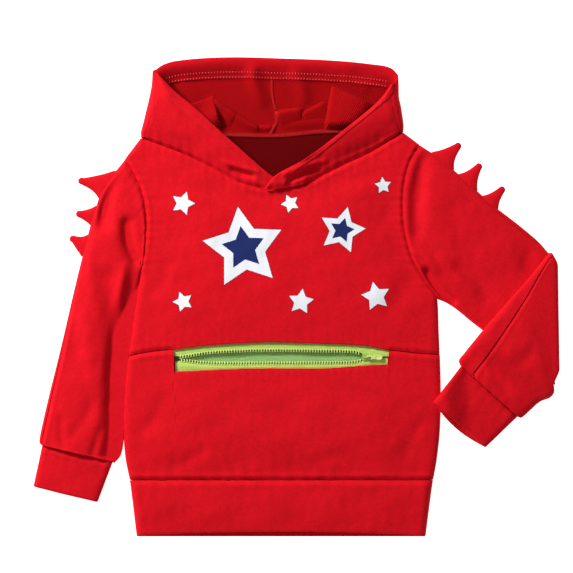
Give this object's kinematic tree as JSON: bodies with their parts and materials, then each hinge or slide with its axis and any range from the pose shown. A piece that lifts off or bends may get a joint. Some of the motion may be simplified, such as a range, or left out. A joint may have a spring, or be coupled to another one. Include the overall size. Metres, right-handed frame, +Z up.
{
  "type": "kids pullover hoodie laid flat",
  "caption": "Children's pullover hoodie lying flat, one sleeve folded over at the elbow, with a zipped front pocket and spikes along the sleeves.",
  "frame": {"origin": "centre of the overall box, on the surface that the hoodie lies on", "axes": "+X to the wearer's left, +Y from the hem towards the hood, +Z up from the surface, with the garment's front upwards"},
  "size_m": [0.5856, 0.5354, 0.02],
  "materials": {
    "sweatshirt": "matt brushed sweatshirt knit",
    "zip_tape": "woven tape",
    "pocket_lining": "plain lining cloth",
    "zip_enamel": "gloss enamel"
  },
  "bodies": {
    "garment": {"front_upper": "sweatshirt", "front_lower": "sweatshirt", "back": "sweatshirt", "hem_band": "sweatshirt", "right_sleeve_front": "sweatshirt", "right_sleeve_back": "sweatshirt", "left_sleeve_front": "sweatshirt", "left_sleeve_back": "sweatshirt", "right_cuff": "sweatshirt", "left_cuff": "sweatshirt", "right_spike_1": "sweatshirt", "right_spike_2": "sweatshirt", "right_spike_3": "sweatshirt", "left_spike_1": "sweatshirt", "left_spike_2": "sweatshirt", "left_spike_3": "sweatshirt", "hood_right": "sweatshirt", "hood_left": "sweatshirt", "zip_tape_upper": "zip_tape", "zip_tape_lower": "zip_tape", "pocket_lining": "pocket_lining", "zip_slider": "zip_enamel"},
    "pull_tab": {"zip_pull": "zip_enamel"}
  },
  "joints": [
    {"name": "pull_hinge", "type": "hinge", "parent": "garment", "child": "pull_tab", "pos_m": [0.0815, -0.0683, 0.0094], "axis": [0, -1, 0], "range_deg": [0, 170]}
  ]
}
